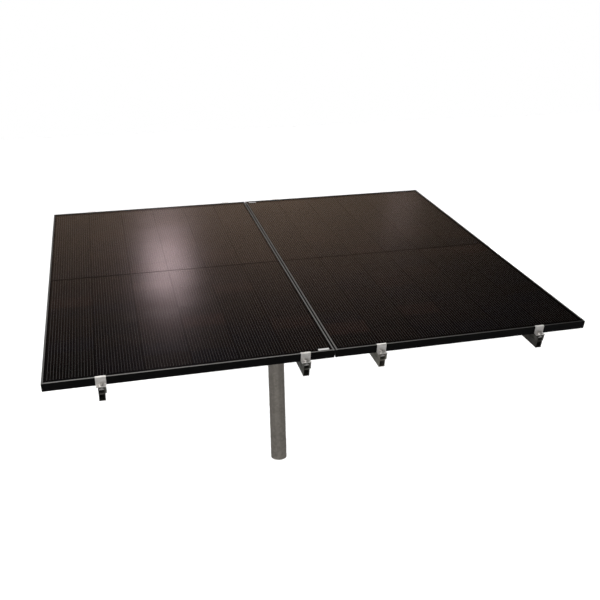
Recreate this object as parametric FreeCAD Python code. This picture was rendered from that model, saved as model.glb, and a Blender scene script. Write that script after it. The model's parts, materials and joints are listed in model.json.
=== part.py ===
import FreeCAD, Part
import math
import os

from FreeCAD import Placement, Rotation, Vector

# Two framed solar modules side by side on four rails.  One beam carries the rails,
# and it tilts and swivels on the top of a round steel mast.
#
# Millimetres.  The origin is the centre of the mast's foot, +Z is up, +X runs along
# the beam and +Y points to the raised edge of the modules.
#
# Two frames are used.  The ground frame is the part's own.  The array frame has its
# origin on the tilt axis, with x along the beam, y up the slope of the modules and
# z square to the glass.

# ---- Driving dimensions ------------------------------------------------------------

TILT = 13.0                     # slope of the modules, degrees
TILT_MIN = 0.0                  # flat
TILT_MAX = 60.0                 # steepest

MODULE_WIDTH = 1134.0
MODULE_LENGTH = 1722.0
MODULE_GAP = 5.0
ARRAY_OFFSET = 109.0            # array centre ahead of the tilt axis, along the slope

FRAME_HEIGHT = 35.0
FRAME_WALL = 1.6
FRAME_LIP = 9.0                 # flange over the glass
FRAME_CHAMBER = 12.0            # width of the hollow chamber
FRAME_FLANGE = 28.0             # flange at the foot of the frame
FRAME_SLOT = (9.0, 14.0)        # mounting slots in the flange of the long bars
FRAME_SLOT_PLACES = (-700.0, -400.0, 400.0, 700.0)
CORNER_KEY_LEG = 42.0
KEY_SLACK = 0.3

GLASS = 3.2
FILM = 0.45                     # clear film on each side of the cells
CELL_THICKNESS = 0.2
BACKSHEET = 0.35
EDGE_SEAL = 1.0

CELL_COLUMNS = 6
CELL_ROWS_PER_HALF = 9
CELL_WIDTH = 182.0
CELL_LENGTH = 91.0
CELL_PITCH_X = 184.5
CELL_PITCH_Y = 92.0
CELL_MIDDLE_GAP = 12.0          # extra gap between the two halves of a module

LABEL_WIDTH = 45.0
LABEL_HEIGHT = 12.0
LABEL_THICKNESS = 0.2
LABEL_INSET_X = 41.5            # label centre from the module's side edge
LABEL_INSET_Y = 18.0            # and from its front or back edge

JUNCTION_BOX = (70.0, 50.0, 14.0)
JUNCTION_BOX_WALL = 2.0
JUNCTION_BOX_LID = 2.5
DIODE = (18.0, 14.0, 5.0)
GLAND_RADIUS = 6.0
GLAND_BORE = 3.0
GLAND_LENGTH = 14.0

RAIL_CENTRES = {"outer_left": -922.0, "inner_left": -124.0,
                "inner_right": 197.0, "outer_right": 915.0}
RAIL_OVERHANG = 22.0            # rail end beyond the module's edge
RAIL_WIDTH = 25.0
RAIL_HEIGHT = 57.0
RAIL_WALL = 2.2
RAIL_SLOT = 9.0
RAIL_WEB_DEPTH = 22.0           # top of the web inside, below the rail's top
RAIL_WEB = 5.5
GROOVE_DEPTH = 2.0              # side grooves, level with the web
GROOVE_HEIGHT = 3.1

CLAMP_WIDTH = 40.0
CLAMP_SHEET = 3.0
CLAMP_BEND = 1.5                # inside radius of the clamp's bends
CLAMP_LIP = 6.0
CLAMP_REACH = 20.0              # foot beyond the module's edge
CLAMP_BOLT_REACH = 11.0         # clamp bolt beyond the module's edge
JAW_THICKNESS = 6.0
JAW_DEPTH = 16.0
JAW_HOOK = 1.7
SLOT_NUT = (20.0, 16.0)

BEAM_SIZE = 80.0
BEAM_WALL = 4.0
BEAM_CORNER = 8.0
BEAM_LENGTH = 1980.0
CAP_THICKNESS = 4.0
CAP_PLUG = 15.0
CAP_WALL = 3.0
BRACKET_SHEET = 5.0
BRACKET_FOOT = 45.0
BRACKET_RISE = 25.0
BRACKET_LENGTH = 60.0
RAIL_BOLT_HEIGHT = 14.5         # rail bolt above the beam
BEAM_BOLT_SPACING = 39.5        # beam bolt from the rail's centre
SADDLE_BOLTS_X = 30.0
SADDLE_BOLTS_Y = 24.0

SADDLE_PLATE = 8.0
SADDLE_WIDTH = 130.0
SADDLE_LENGTH = 140.0
SADDLE_TO_PIVOT = 70.0
CHEEK = 8.0
CHEEK_TOP = 62.0                # half length of each cheek under the saddle
CHEEK_BOSS = 32.0
CHEEK_LOBE = 20.0
EAR = 8.0
EAR_INSIDE = 40.0               # inner face of each ear, from the mast's axis
EAR_BOSS = 36.0
EAR_WAIST = 48.0                # top of the straight foot, below the tilt axis
EAR_FOOT = 60.0                 # half width of the ear's foot
EAR_TAPER = 4.0
BUSH_WALL = 3.0
BUSH_CLEARANCE = 0.05
BUSH_FLANGE = 1.6
BUSH_FLANGE_RADIUS = 24.0
PIVOT_WASHER = 3.0
PIVOT_WASHER_RADIUS = 18.5
RUNNING_GAP = 0.4               # between faces that slide past each other
LOCK_RADIUS = 60.0              # lock bolt from the tilt axis
LOCK_SLOT_CLEARANCE = 0.5
LOCK_SLOT_SPARE = 1.0           # slot beyond each end of the travel, degrees

PIVOT_HEIGHT = 975.0
MAST_RADIUS = 44.45
MAST_WALL = 4.0
MAST_LENGTH = 875.0
PAD_THICKNESS = 5.0
SLEEVE_WALL = 5.9
SLEEVE_CLEARANCE = 0.45
SLEEVE_LENGTH = 150.0
HEAD_PLATE = 10.0
HEAD_PLATE_SIZE = 130.0
HEAD_PLATE_CORNER = 22.0
SCREW_LEVELS = (35.0, 115.0)    # set screws below the top of the sleeve
SCREW_ANGLES = (30.0, 150.0, 270.0)
SCREW_LENGTH = 32.0
SCREW_HEAD = (12.0, 8.0)

# Fasteners: thread radius, width across flats, head height, nut height
M8 = (4.0, 13.0, 8.0, 6.5)
M8_SOCKET = (6.0, 4.0)          # across flats, depth
M10 = (5.0, 16.0, 6.4, 8.0)
M12 = (6.0, 18.0, 7.5, 10.0)
M16 = (8.0, 24.0, 10.0, 14.0)
M20 = (10.0, 30.0, 12.5, 16.0)
SHANK_GAP = 0.3                 # bolt hole over the bolt's radius
THREAD_END = 4.0                # bolt beyond a small nut
LONG_THREAD_END = 6.0           # bolt beyond a large nut

# ---- Derived dimensions ------------------------------------------------------------

# Levels in the array frame, from the tilt axis up to the top of the module frames
SADDLE_BOTTOM = SADDLE_TO_PIVOT
BEAM_BOTTOM = SADDLE_BOTTOM + SADDLE_PLATE
BEAM_TOP = BEAM_BOTTOM + BEAM_SIZE
RAIL_TOP = BEAM_TOP + RAIL_HEIGHT
MODULE_TOP = RAIL_TOP + FRAME_HEIGHT
BEAM_MIDDLE = (BEAM_BOTTOM + BEAM_TOP) / 2

ARRAY_Y = -ARRAY_OFFSET
FRONT_EDGE = ARRAY_Y - MODULE_LENGTH / 2
BACK_EDGE = ARRAY_Y + MODULE_LENGTH / 2
MODULE_CENTRES = {"left": -(MODULE_WIDTH + MODULE_GAP) / 2,
                  "right": (MODULE_WIDTH + MODULE_GAP) / 2}

# Levels of the laminate below the module's top
GLASS_TOP = -FRAME_WALL
FRONT_FILM_TOP = GLASS_TOP - GLASS
CELL_TOP = FRONT_FILM_TOP - FILM
REAR_FILM_TOP = CELL_TOP - CELL_THICKNESS
BACKSHEET_TOP = REAR_FILM_TOP - FILM
LAMINATE_BOTTOM = BACKSHEET_TOP - BACKSHEET
LAMINATE_INSET = FRAME_WALL + EDGE_SEAL

WEB_TOP = RAIL_TOP - RAIL_WEB_DEPTH
WEB_BOTTOM = WEB_TOP - RAIL_WEB
GROOVE_MIDDLE = (WEB_TOP + WEB_BOTTOM) / 2
FOOT_BOTTOM = RAIL_TOP + CLAMP_SHEET

PAD_TOP = MAST_LENGTH + PAD_THICKNESS
HEAD_BOTTOM = PAD_TOP + RUNNING_GAP
HEAD_TOP = HEAD_BOTTOM + HEAD_PLATE
SLEEVE_INNER = MAST_RADIUS + SLEEVE_CLEARANCE
SLEEVE_OUTER = SLEEVE_INNER + SLEEVE_WALL
EAR_OUTSIDE = EAR_INSIDE + EAR
CHEEK_INSIDE = EAR_OUTSIDE + RUNNING_GAP + BUSH_FLANGE
CHEEK_OUTSIDE = CHEEK_INSIDE + CHEEK
BUSH_INNER = M20[0] + BUSH_CLEARANCE
BUSH_OUTER = BUSH_INNER + BUSH_WALL
PIVOT = Vector(0, 0, PIVOT_HEIGHT)

IN_ARRAY = Placement(Vector(0, 0, PIVOT_HEIGHT), Rotation(Vector(1, 0, 0), TILT))
ON_GROUND = Placement()

X_AXIS = Vector(1, 0, 0)
Y_AXIS = Vector(0, 1, 0)
Z_AXIS = Vector(0, 0, 1)


# ---- Shapes ------------------------------------------------------------------------

def box(x0, x1, y0, y1, z0, z1):
    """A block between two corners."""
    return Part.makeBox(x1 - x0, y1 - y0, z1 - z0, Vector(x0, y0, z0))


def block(centre_x, centre_y, width, length, z0, z1):
    """A block centred in x and y."""
    return box(centre_x - width / 2, centre_x + width / 2,
               centre_y - length / 2, centre_y + length / 2, z0, z1)


def rod(radius, start, direction, length):
    """A round bar from a start point."""
    return Part.makeCylinder(radius, length, start, direction)


def tube(outer, inner, start, direction, length):
    """A round tube from a start point."""
    return rod(outer, start, direction, length).cut(rod(inner, start, direction, length))


def hexagon(flats, start, direction, height):
    """A plain hexagonal prism."""
    corner = flats / math.sqrt(3)
    points = []
    for i in range(7):
        angle = math.radians(60 * i + 30)
        points.append(Vector(corner * math.cos(angle), corner * math.sin(angle), 0))
    prism = Part.Face(Part.makePolygon(points)).extrude(Vector(0, 0, height))
    prism.Placement = Placement(start, Rotation(Z_AXIS, direction))
    return prism


def crowned_hexagon(flats, start, direction, height):
    """A hexagonal prism whose far corners are turned off."""
    corner = flats / math.sqrt(3)
    crown = 0.12 * flats
    profile = [Vector(0, 0, 0), Vector(corner, 0, 0), Vector(corner, 0, height - crown / 2),
               Vector(corner - crown, 0, height), Vector(0, 0, height), Vector(0, 0, 0)]
    turned = Part.Face(Part.makePolygon(profile)).revolve(Vector(0, 0, 0), Z_AXIS, 360)
    turned.Placement = Placement(start, Rotation(Z_AXIS, direction))
    return hexagon(flats, start, direction, height).common(turned)


def bolt(size, under_head, direction, length):
    """A hexagon bolt: its head stands on under_head and its shank runs along direction."""
    radius, flats, head, _ = size
    shank = rod(radius, under_head, direction, length)
    return crowned_hexagon(flats, under_head, direction * -1, head).fuse(shank)


def nut(size, face, direction):
    """A hexagon nut that starts at a face and whose hole fits the bolt's thread."""
    radius, flats, _, height = size
    blank = crowned_hexagon(flats, face, direction, height)
    return blank.cut(rod(radius, face, direction, height))


def prism_along_x(points, x0, x1):
    """A block with a (y, z) outline, between two x values."""
    outline = [Vector(x0, y, z) for y, z in points]
    outline.append(outline[0])
    return Part.Face(Part.makePolygon(outline)).extrude(Vector(x1 - x0, 0, 0))


def link_plate(first, second, radius, x0, x1):
    """A plate with round ends about two (y, z) points."""
    dy = second[0] - first[0]
    dz = second[1] - first[1]
    span = math.hypot(dy, dz)
    side = (-dz / span * radius, dy / span * radius)
    middle = prism_along_x([(first[0] + side[0], first[1] + side[1]),
                            (second[0] + side[0], second[1] + side[1]),
                            (second[0] - side[0], second[1] - side[1]),
                            (first[0] - side[0], first[1] - side[1])], x0, x1)
    ends = [rod(radius, Vector(x0, y, z), X_AXIS, x1 - x0) for y, z in (first, second)]
    return middle.multiFuse(ends).removeSplitter()


def write(name, solids, placement):
    """Write one node from its separate solids."""
    placed = []
    for solid in solids:
        piece = solid.copy()
        piece.Placement = placement.multiply(piece.Placement)
        placed.append(piece)
    shape = placed[0] if len(placed) == 1 else Part.makeCompound(placed)
    shape.exportStep(os.path.join("parts", name + ".step"))


# ---- Modules -----------------------------------------------------------------------

def slot_cut(x, y, z):
    """The space of one round-ended mounting slot through the frame's flange."""
    width, length = FRAME_SLOT
    straight = (length - width) / 2
    middle = box(x - straight, x + straight, y - width / 2, y + width / 2,
                 z, z + FRAME_WALL)
    ends = [rod(width / 2, Vector(x + side * straight, y, z), Z_AXIS, FRAME_WALL)
            for side in (-1, 1)]
    return middle.multiFuse(ends)


def frame_bar(length, slots):
    """A mitred frame bar along x, its outer face on y = 0 and its top on z = 0."""
    bottom = -FRAME_HEIGHT
    shelf_top = LAMINATE_BOTTOM
    half = length / 2
    section = [box(-half, half, 0, FRAME_WALL, bottom, 0),
               box(-half, half, 0, FRAME_LIP, -FRAME_WALL, 0),
               box(-half, half, 0, FRAME_CHAMBER, shelf_top - FRAME_WALL, shelf_top),
               box(-half, half, FRAME_CHAMBER - FRAME_WALL, FRAME_CHAMBER, bottom, shelf_top),
               box(-half, half, 0, FRAME_FLANGE, bottom, bottom + FRAME_WALL)]
    bar = section[0].multiFuse(section[1:]).removeSplitter()
    mitre = [Vector(-half, 0, bottom), Vector(half, 0, bottom),
             Vector(half - FRAME_FLANGE, FRAME_FLANGE, bottom),
             Vector(-half + FRAME_FLANGE, FRAME_FLANGE, bottom),
             Vector(-half, 0, bottom)]
    envelope = Part.Face(Part.makePolygon(mitre)).extrude(Vector(0, 0, FRAME_HEIGHT))
    bar = bar.common(envelope)
    slot_line = (FRAME_CHAMBER + FRAME_FLANGE) / 2
    for x in slots:
        bar = bar.cut(slot_cut(x, slot_line, bottom))
    return bar


def write_frame(side, centre):
    """The four bars of one module's frame."""
    half_width = MODULE_WIDTH / 2
    half_length = MODULE_LENGTH / 2
    places = {"front": (MODULE_WIDTH, 0, Vector(0, -half_length, 0)),
              "right": (MODULE_LENGTH, 90, Vector(half_width, 0, 0)),
              "back": (MODULE_WIDTH, 180, Vector(0, half_length, 0)),
              "left": (MODULE_LENGTH, 270, Vector(-half_width, 0, 0))}
    for edge, (length, turn, corner) in places.items():
        slots = FRAME_SLOT_PLACES if length == MODULE_LENGTH else ()
        bar = frame_bar(length, slots)
        where = centre + corner
        bar.Placement = Placement(where, Rotation(Z_AXIS, turn))
        write(side + "_frame_" + edge, [bar], IN_ARRAY)


def corner_key(centre, x_sign, y_sign):
    """An angled key inside the chambers of two frame bars."""
    near = FRAME_WALL + KEY_SLACK
    far = FRAME_CHAMBER - FRAME_WALL - KEY_SLACK
    low = -FRAME_HEIGHT + FRAME_WALL + KEY_SLACK
    high = LAMINATE_BOTTOM - FRAME_WALL - KEY_SLACK
    along_x = box(near, CORNER_KEY_LEG, near, far, low, high)
    along_y = box(near, far, near, CORNER_KEY_LEG, low, high)
    key = along_x.fuse(along_y).removeSplitter()
    turn = {(1, 1): 0, (-1, 1): 90, (-1, -1): 180, (1, -1): 270}[(x_sign, y_sign)]
    corner = Vector(-x_sign * MODULE_WIDTH / 2, -y_sign * MODULE_LENGTH / 2, 0)
    key.Placement = Placement(centre + corner, Rotation(Z_AXIS, turn))
    return key


def laminate_sheet(centre, top, bottom):
    """A sheet as large as the glass."""
    return block(centre.x, centre.y, MODULE_WIDTH - 2 * LAMINATE_INSET,
                 MODULE_LENGTH - 2 * LAMINATE_INSET, centre.z + bottom, centre.z + top)


def edge_seal(centre):
    """The seal between the laminate's edge and the frame."""
    outer = block(centre.x, centre.y, MODULE_WIDTH - 2 * FRAME_WALL,
                  MODULE_LENGTH - 2 * FRAME_WALL,
                  centre.z + LAMINATE_BOTTOM, centre.z + GLASS_TOP)
    return outer.cut(laminate_sheet(centre, GLASS_TOP, LAMINATE_BOTTOM))


def cell_places(centre):
    """Centres of a module's half cells, in six columns and two halves."""
    places = []
    for column in range(CELL_COLUMNS):
        x = (column - (CELL_COLUMNS - 1) / 2) * CELL_PITCH_X
        for half in (-1, 1):
            for row in range(CELL_ROWS_PER_HALF):
                y = half * (CELL_MIDDLE_GAP / 2 + (row + 0.5) * CELL_PITCH_Y)
                places.append((centre.x + x, centre.y + y))
    return places


def write_laminate(side, centre):
    """Glass, films, cells, back sheet and seal of one module."""
    layers = {"glass": (GLASS_TOP, FRONT_FILM_TOP),
              "front_film": (FRONT_FILM_TOP, CELL_TOP),
              "rear_film": (REAR_FILM_TOP, BACKSHEET_TOP),
              "backsheet": (BACKSHEET_TOP, LAMINATE_BOTTOM)}
    for layer, (top, bottom) in layers.items():
        write(side + "_" + layer, [laminate_sheet(centre, top, bottom)], IN_ARRAY)
    cells = [block(x, y, CELL_WIDTH, CELL_LENGTH,
                   centre.z + REAR_FILM_TOP, centre.z + CELL_TOP)
             for x, y in cell_places(centre)]
    write(side + "_cells", cells, IN_ARRAY)
    write(side + "_edge_seal", [edge_seal(centre)], IN_ARRAY)


def module_label(centre, turn):
    """A blank label stuck on the glass, in the margin at one corner of a module."""
    x = turn * (MODULE_WIDTH / 2 - LABEL_INSET_X)
    y = -turn * (MODULE_LENGTH / 2 - LABEL_INSET_Y)
    return block(centre.x + x, centre.y + y, LABEL_WIDTH, LABEL_HEIGHT,
                 centre.z + GLASS_TOP, centre.z + GLASS_TOP + LABEL_THICKNESS)


def write_connection_boxes(centres):
    """Three boxes in the middle of each module's back, with lids, diodes and glands."""
    width, length, depth = JUNCTION_BOX
    wall = JUNCTION_BOX_WALL
    diode_width, diode_length, diode_height = DIODE
    boxes, lids, diodes, glands = [], [], [], []
    for centre in centres:
        top = centre.z + LAMINATE_BOTTOM
        bottom = top - depth
        for step in (-1, 0, 1):
            x = centre.x + step * 2 * CELL_PITCH_X
            y = centre.y
            mouth = Vector(x, y - length / 2 + wall, (top + bottom) / 2)
            outlet = Vector(x, y - length / 2, (top + bottom) / 2)
            shell = block(x, y, width, length, bottom, top)
            cavity = block(x, y, width - 2 * wall, length - 2 * wall, bottom, top - wall)
            port = rod(GLAND_BORE, mouth, Y_AXIS * -1, wall)
            ceiling = top - wall
            boxes.append(shell.cut(cavity).cut(port))
            lids.append(block(x, y, width, length, bottom - JUNCTION_BOX_LID, bottom))
            diodes.append(block(x, y + length / 6, diode_width, diode_length,
                                ceiling - diode_height, ceiling))
            glands.append(tube(GLAND_RADIUS, GLAND_BORE, outlet, Y_AXIS * -1, GLAND_LENGTH))
    write("junction_boxes", boxes, IN_ARRAY)
    write("junction_box_lids", lids, IN_ARRAY)
    write("bypass_diodes", diodes, IN_ARRAY)
    write("cable_glands", glands, IN_ARRAY)


def write_modules():
    """Both modules."""
    centres = {side: Vector(x, ARRAY_Y, MODULE_TOP) for side, x in MODULE_CENTRES.items()}
    keys = []
    for side, centre in centres.items():
        write_frame(side, centre)
        write_laminate(side, centre)
        keys += [corner_key(centre, x, y) for x in (-1, 1) for y in (-1, 1)]
    write("corner_keys", keys, IN_ARRAY)
    write("module_labels", [module_label(centres["left"], 1),
                            module_label(centres["right"], -1)], IN_ARRAY)
    write_connection_boxes(centres.values())


# ---- Rails and clamps --------------------------------------------------------------

def rail(x):
    """A hollow rail up the slope, with a web, a top slot and a groove in each side."""
    front = FRONT_EDGE - RAIL_OVERHANG
    back = BACK_EDGE + RAIL_OVERHANG
    half = RAIL_WIDTH / 2
    inner = half - RAIL_WALL
    body = box(x - half, x + half, front, back, BEAM_TOP, RAIL_TOP)
    hollows = [box(x - inner, x + inner, front, back, WEB_TOP, RAIL_TOP - RAIL_WALL),
               box(x - inner, x + inner, front, back, BEAM_TOP + RAIL_WALL, WEB_BOTTOM),
               box(x - RAIL_SLOT / 2, x + RAIL_SLOT / 2, front, back,
                   RAIL_TOP - RAIL_WALL, RAIL_TOP),
               rod(M10[0] + SHANK_GAP, rail_bolt_point(x, -half), X_AXIS, RAIL_WIDTH)]
    for side in (-1, 1):
        face = x + side * half
        floor = face - side * GROOVE_DEPTH
        hollows.append(box(min(face, floor), max(face, floor), front, back,
                           GROOVE_MIDDLE - GROOVE_HEIGHT / 2,
                           GROOVE_MIDDLE + GROOVE_HEIGHT / 2))
    for hollow in hollows:
        body = body.cut(hollow)
    return body


def round_edges(shape, radius, y, z):
    """Round the edge that runs along x at one (y, z)."""
    edges = [edge for edge in shape.Edges
             if abs(edge.CenterOfMass.y - y) < 0.01 and abs(edge.CenterOfMass.z - z) < 0.01
             and edge.BoundBox.XLength > 1.0]
    return shape.makeFillet(radius, edges)


def clamp(x, edge, outward):
    """An end clamp: lip on the frame, plate down its face, foot out along the rail."""
    half = CLAMP_WIDTH / 2
    plate_out = edge + outward * CLAMP_SHEET
    foot_out = edge + outward * CLAMP_REACH
    lip_in = edge - outward * CLAMP_LIP
    lip_top = MODULE_TOP + CLAMP_SHEET
    foot_top = FOOT_BOTTOM + CLAMP_SHEET

    def across(y0, y1, z0, z1):
        return box(x - half, x + half, min(y0, y1), max(y0, y1), z0, z1)

    body = across(lip_in, plate_out, MODULE_TOP, lip_top)
    body = body.fuse(across(edge, plate_out, FOOT_BOTTOM, lip_top))
    body = body.fuse(across(edge, foot_out, FOOT_BOTTOM, foot_top)).removeSplitter()
    body = round_edges(body, CLAMP_BEND + CLAMP_SHEET / 2, plate_out, lip_top)
    body = round_edges(body, CLAMP_BEND, plate_out, foot_top)
    body = round_edges(body, CLAMP_BEND + CLAMP_SHEET / 2, edge, FOOT_BOTTOM)
    y = edge + outward * CLAMP_BOLT_REACH
    return body.cut(rod(M8[0] + SHANK_GAP, Vector(x, y, FOOT_BOTTOM), Z_AXIS, CLAMP_SHEET))


def clamp_jaw(x, edge, outward):
    """A jaw under the clamp's foot that hooks into the rail's side groove."""
    y = edge + outward * CLAMP_BOLT_REACH
    front = y - JAW_DEPTH / 2
    back = y + JAW_DEPTH / 2
    side = x + RAIL_WIDTH / 2 + SHANK_GAP
    hook_top = GROOVE_MIDDLE + GROOVE_HEIGHT / 2 - SHANK_GAP
    hook_bottom = GROOVE_MIDDLE - GROOVE_HEIGHT / 2 + SHANK_GAP
    tab = box(x - RAIL_SLOT, side + JAW_THICKNESS, front, back, RAIL_TOP, FOOT_BOTTOM)
    leg = box(side, side + JAW_THICKNESS, front, back, hook_bottom, RAIL_TOP)
    hook = box(side - JAW_HOOK, side, front, back, hook_bottom, hook_top)
    jaw = tab.multiFuse([leg, hook]).removeSplitter()
    return jaw.cut(rod(M8[0] + SHANK_GAP, Vector(x, y, RAIL_TOP), Z_AXIS, CLAMP_SHEET))


def clamp_bolt(x, edge, outward):
    """The clamp's socket screw, down through foot, jaw and slot."""
    radius, head_width, head_height, nut_height = M8
    flats, depth = M8_SOCKET
    y = edge + outward * CLAMP_BOLT_REACH
    seat = Vector(x, y, FOOT_BOTTOM + CLAMP_SHEET)
    head = rod(head_width / 2, seat, Z_AXIS, head_height)
    socket = hexagon(flats, seat + Vector(0, 0, head_height - depth), Z_AXIS, depth)
    shank = rod(radius, seat, Z_AXIS * -1,
                2 * CLAMP_SHEET + RAIL_WALL + nut_height + THREAD_END)
    return head.cut(socket).fuse(shank)


def slot_nut(x, edge, outward):
    """The block nut inside the rail's top chamber."""
    width, length = SLOT_NUT
    height = M8[3]
    y = edge + outward * CLAMP_BOLT_REACH
    top = RAIL_TOP - RAIL_WALL
    blank = block(x, y, width, length, top - height, top)
    return blank.cut(rod(M8[0], Vector(x, y, top), Z_AXIS * -1, height))


def write_rails_and_clamps():
    """Four rails, with a clamp at each end of each."""
    ends = ((FRONT_EDGE, -1), (BACK_EDGE, 1))
    for name, x in RAIL_CENTRES.items():
        write("rail_" + name, [rail(x)], IN_ARRAY)
    for name, (edge, outward) in zip(("front", "rear"), ends):
        clamps = [clamp(x, edge, outward) for x in RAIL_CENTRES.values()]
        write(name + "_clamps", clamps, IN_ARRAY)
    spots = [(x, edge, outward) for x in RAIL_CENTRES.values() for edge, outward in ends]
    write("clamp_jaws", [clamp_jaw(*spot) for spot in spots], IN_ARRAY)
    write("clamp_bolts", [clamp_bolt(*spot) for spot in spots], IN_ARRAY)
    write("slot_nuts", [slot_nut(*spot) for spot in spots], IN_ARRAY)


# ---- Beam --------------------------------------------------------------------------

def rail_bolt_point(x, offset):
    """A point on the axis of the bolt that crosses a rail above the beam."""
    return Vector(x + offset, 0, BEAM_TOP + RAIL_BOLT_HEIGHT)


def beam_bolt_places():
    """Places of the bolts that pass down through the beam beside each rail."""
    return [x + side * BEAM_BOLT_SPACING for x in RAIL_CENTRES.values() for side in (-1, 1)]


def saddle_bolt_places():
    """Places of the bolts that hold the saddle under the beam."""
    return [(x * SADDLE_BOLTS_X, y * SADDLE_BOLTS_Y) for x in (-1, 1) for y in (-1, 1)]


def square_bar(x0, x1, half, corner):
    """A round-cornered square bar along the beam's axis."""
    bar = box(x0, x1, -half, half, BEAM_MIDDLE - half, BEAM_MIDDLE + half)
    edges = [edge for edge in bar.Edges if edge.BoundBox.XLength > 1.0]
    return bar.makeFillet(corner, edges)


def beam():
    """The square tube under the rails, drilled for its bolts."""
    half = BEAM_LENGTH / 2
    outer = BEAM_SIZE / 2
    body = square_bar(-half, half, outer, BEAM_CORNER)
    body = body.cut(square_bar(-half, half, outer - BEAM_WALL, BEAM_CORNER - BEAM_WALL))
    spots = [(x, 0.0) for x in beam_bolt_places()] + saddle_bolt_places()
    holes = [rod(M10[0] + SHANK_GAP, Vector(x, y, BEAM_BOTTOM), Z_AXIS, BEAM_SIZE)
             for x, y in spots]
    return body.cut(holes)


def beam_cap(side):
    """A plastic cap on one end of the beam."""
    end = BEAM_LENGTH / 2
    inner = BEAM_SIZE / 2 - BEAM_WALL - SHANK_GAP
    corner = BEAM_CORNER - BEAM_WALL
    plate = square_bar(end, end + CAP_THICKNESS, BEAM_SIZE / 2, BEAM_CORNER)
    plug = square_bar(end - CAP_PLUG, end, inner, corner)
    core = square_bar(end - CAP_PLUG, end, inner - CAP_WALL, corner / 2)
    cap = plate.fuse(plug).cut(core)
    return cap if side > 0 else cap.mirror(Vector(0, 0, 0), X_AXIS)


def rail_bracket(x, side):
    """An angle bracket between one side of a rail and the top of the beam."""
    face = x + side * RAIL_WIDTH / 2
    inner = face + side * BRACKET_SHEET
    outer = face + side * BRACKET_FOOT
    half = BRACKET_LENGTH / 2
    upright = box(min(face, inner), max(face, inner), -half, half,
                  BEAM_TOP, BEAM_TOP + BRACKET_RISE)
    foot = box(min(face, outer), max(face, outer), -half, half,
               BEAM_TOP, BEAM_TOP + BRACKET_SHEET)
    cross_hole = rod(M10[0] + SHANK_GAP, rail_bolt_point(x, -BRACKET_FOOT),
                     X_AXIS, 2 * BRACKET_FOOT)
    down_hole = rod(M10[0] + SHANK_GAP, Vector(x + side * BEAM_BOLT_SPACING, 0, BEAM_TOP),
                    Z_AXIS, BRACKET_SHEET)
    return upright.fuse(foot).removeSplitter().cut([cross_hole, down_hole])


def write_beam():
    """The beam, its caps, and the brackets, bolts and nuts that hold the rails on it."""
    reach = RAIL_WIDTH / 2 + BRACKET_SHEET
    rail_bolt_length = 2 * reach + M10[3] + THREAD_END
    beam_bolt_length = BRACKET_SHEET + BEAM_SIZE + M10[3] + THREAD_END
    saddle_bolt_length = SADDLE_PLATE + BEAM_SIZE + M10[3] + THREAD_END
    brackets, rail_bolts, nuts = [], [], []
    for x in RAIL_CENTRES.values():
        brackets += [rail_bracket(x, side) for side in (-1, 1)]
        rail_bolts.append(bolt(M10, rail_bolt_point(x, -reach), X_AXIS, rail_bolt_length))
        nuts.append(nut(M10, rail_bolt_point(x, reach), X_AXIS))
    down = Z_AXIS * -1
    beam_bolts = []
    for x in beam_bolt_places():
        head = Vector(x, 0, BEAM_TOP + BRACKET_SHEET)
        beam_bolts.append(bolt(M10, head, down, beam_bolt_length))
        nuts.append(nut(M10, Vector(x, 0, BEAM_BOTTOM), down))
    saddle_bolts = []
    for x, y in saddle_bolt_places():
        head = Vector(x, y, SADDLE_BOTTOM)
        saddle_bolts.append(bolt(M10, head, Z_AXIS, saddle_bolt_length))
        nuts.append(nut(M10, Vector(x, y, BEAM_TOP), Z_AXIS))
    write("beam", [beam()], IN_ARRAY)
    write("beam_end_caps", [beam_cap(-1), beam_cap(1)], IN_ARRAY)
    write("rail_brackets", brackets, IN_ARRAY)
    write("rail_bolts", rail_bolts, IN_ARRAY)
    write("beam_bolts", beam_bolts, IN_ARRAY)
    write("saddle_bolts", saddle_bolts, IN_ARRAY)
    write("structure_nuts", nuts, IN_ARRAY)


# ---- Saddle, on the tilt axis ------------------------------------------------------

def lock_point():
    """The (y, z) of the lock bolt: straight below the axis at the middle of the travel."""
    angle = math.radians((TILT_MIN + TILT_MAX) / 2)
    return (-LOCK_RADIUS * math.sin(angle), -LOCK_RADIUS * math.cos(angle))


def saddle_plate():
    """The plate under the beam that carries both cheeks."""
    plate = block(0, 0, SADDLE_WIDTH, SADDLE_LENGTH, SADDLE_BOTTOM, BEAM_BOTTOM)
    holes = [rod(M10[0] + SHANK_GAP, Vector(x, y, SADDLE_BOTTOM), Z_AXIS, SADDLE_PLATE)
             for x, y in saddle_bolt_places()]
    return plate.cut(holes)


def cheek(side):
    """A plate down from the saddle, with the pivot and lock holes."""
    x0, x1 = sorted((side * CHEEK_INSIDE, side * CHEEK_OUTSIDE))
    upper = prism_along_x([(-CHEEK_TOP, SADDLE_BOTTOM), (CHEEK_TOP, SADDLE_BOTTOM),
                           (CHEEK_BOSS, 0), (-CHEEK_BOSS, 0)], x0, x1)
    round_boss = rod(CHEEK_BOSS, Vector(x0, 0, 0), X_AXIS, x1 - x0)
    arm = link_plate((0, 0), lock_point(), CHEEK_LOBE, x0, x1)
    lock_y, lock_z = lock_point()
    holes = [rod(BUSH_OUTER, Vector(x0, 0, 0), X_AXIS, x1 - x0),
             rod(M16[0] + SHANK_GAP, Vector(x0, lock_y, lock_z), X_AXIS, x1 - x0)]
    return upper.multiFuse([round_boss, arm]).removeSplitter().cut(holes)


def pivot_bush(side):
    """A flanged bush pressed in a cheek, its flange towards the ear."""
    outward = X_AXIS * side
    flange_start = Vector(side * (CHEEK_INSIDE - BUSH_FLANGE), 0, 0)
    flange = tube(BUSH_FLANGE_RADIUS, BUSH_INNER, flange_start, outward, BUSH_FLANGE)
    barrel = tube(BUSH_OUTER, BUSH_INNER, Vector(side * CHEEK_INSIDE, 0, 0), outward, CHEEK)
    return flange.fuse(barrel).removeSplitter()


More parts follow.
